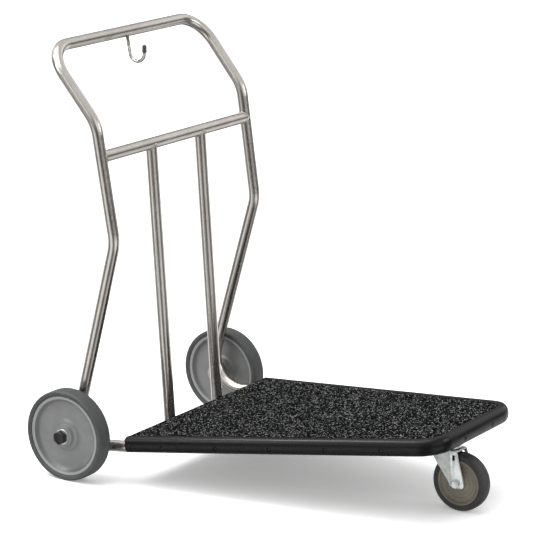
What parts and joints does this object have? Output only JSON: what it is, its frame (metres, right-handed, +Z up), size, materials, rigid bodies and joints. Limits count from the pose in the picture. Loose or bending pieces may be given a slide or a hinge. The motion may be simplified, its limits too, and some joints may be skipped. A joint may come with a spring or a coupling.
{
  "type": "hotel luggage cart",
  "caption": "Hand cart with a brushed tube frame, a cranked U handle with a bag hook, a sloping carpeted deck, fixed rear wheels and a front swivel caster.",
  "frame": {"origin": "on the floor, in the middle of the footprint box", "axes": "+X forwards from the handle to the caster, +Y to the left, +Z up"},
  "size_m": [0.985, 0.6746, 0.9607],
  "materials": {
    "stainless_tube": "brushed lengthwise, satin",
    "frame_steel": "grey paint, satin",
    "zinc": "bright zinc plate",
    "hook_rod": "polished",
    "soft_tip": "matte",
    "plywood": "raw",
    "carpet": "low looped pile with pale flecks",
    "bumper": "glossy",
    "black_screws": "black oxide",
    "black_caps": "fine grain",
    "grey_hub": "moulded, satin",
    "grey_tyre": "matte",
    "bush": "smooth",
    "taupe_hub": "moulded, satin",
    "dark_tyre": "matte"
  },
  "bodies": {
    "cart_frame": {"handle_hoop": "stainless_tube", "left_side_tube": "stainless_tube", "right_side_tube": "stainless_tube", "crossbar": "stainless_tube", "left_upright": "stainless_tube", "right_upright": "stainless_tube", "rear_cross_member": "frame_steel", "deck_hoop": "stainless_tube", "middle_cross_tube": "frame_steel", "caster_channel": "frame_steel", "bag_hook": "hook_rod", "hook_tip": "soft_tip", "deck_board": "plywood", "deck_carpet": "carpet", "deck_bumper": "bumper", "bumper_screws": "black_screws", "deck_screws": "zinc", "left_stub_axle": "zinc", "right_stub_axle": "zinc", "inner_axle_washers": "zinc", "outer_axle_washers": "zinc", "axle_nuts": "zinc", "axle_caps": "black_caps", "caster_top_plate": "zinc", "caster_bolts": "zinc", "caster_bolt_nuts": "zinc", "swivel_balls": "zinc", "caster_kingpin": "zinc", "kingpin_nut": "zinc"},
    "left_wheel": {"left_wheel_hub": "grey_hub", "left_wheel_tyre": "grey_tyre", "left_wheel_bushes": "bush"},
    "right_wheel": {"right_wheel_hub": "grey_hub", "right_wheel_tyre": "grey_tyre", "right_wheel_bushes": "bush"},
    "caster_fork": {"caster_fork": "zinc", "caster_axle_bolt": "zinc", "caster_axle_nut": "zinc", "caster_spacer_tube": "zinc", "caster_side_washers": "zinc"},
    "caster_wheel": {"caster_wheel_hub": "taupe_hub", "caster_wheel_tyre": "dark_tyre", "caster_wheel_bush": "bush"}
  },
  "joints": [
    {"name": "left_wheel_spin", "type": "hinge", "parent": "cart_frame", "child": "left_wheel", "pos_m": [-0.39095, 0.3, 0.1016], "axis": [0, 1, 0], "continuous": true},
    {"name": "right_wheel_spin", "type": "hinge", "parent": "cart_frame", "child": "right_wheel", "pos_m": [-0.39095, -0.3, 0.1016], "axis": [0, 1, 0], "continuous": true},
    {"name": "caster_swivel", "type": "hinge", "parent": "cart_frame", "child": "caster_fork", "pos_m": [0.39705, 0, 0.157], "axis": [0, 0, 1], "continuous": true},
    {"name": "caster_wheel_spin", "type": "hinge", "parent": "caster_fork", "child": "caster_wheel", "pos_m": [0.42905, 0, 0.0635], "axis": [0, 1, 0], "continuous": true}
  ]
}
